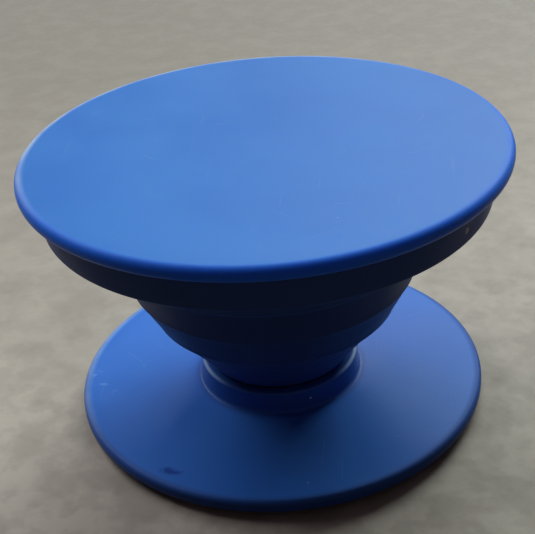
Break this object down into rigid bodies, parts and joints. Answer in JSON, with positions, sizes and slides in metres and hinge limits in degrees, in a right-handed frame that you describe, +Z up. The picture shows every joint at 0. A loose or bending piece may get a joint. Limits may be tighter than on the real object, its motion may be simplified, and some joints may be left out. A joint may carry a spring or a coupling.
{
  "type": "collapsible phone grip",
  "caption": "Round disc on a folding moulded accordion that rises off a round adhesive base plate, to hold or prop up a phone.",
  "frame": {"origin": "centre of the adhesive pad's lower face, where the grip stands or is stuck down", "axes": "+Z up along the axis of the disc, the accordion and the base plate"},
  "size_m": [0.04, 0.04, 0.0241],
  "materials": {
    "button_plastic": "satin moulded plastic, medium blue",
    "accordion_elastomer": "soft moulded elastomer, dark navy blue",
    "base_plastic": "semi-gloss moulded plastic, medium blue",
    "pad_foam": "grey adhesive foam"
  },
  "bodies": {
    "base": {"base_plate": "base_plastic", "foot_plug": "base_plastic", "adhesive_pad": "pad_foam"},
    "bellows": {"accordion": "accordion_elastomer"},
    "button": {"button": "button_plastic"}
  },
  "joints": [
    {"name": "collapse", "type": "slide", "parent": "base", "child": "bellows", "axis": [0, 0, 1], "range_m": [-0.0165, 0], "deforming": ["accordion"]},
    {"name": "button_turn", "type": "hinge", "parent": "bellows", "child": "button", "pos_m": [0, 0, 0.0228], "axis": [0, 0, 1], "continuous": true}
  ]
}
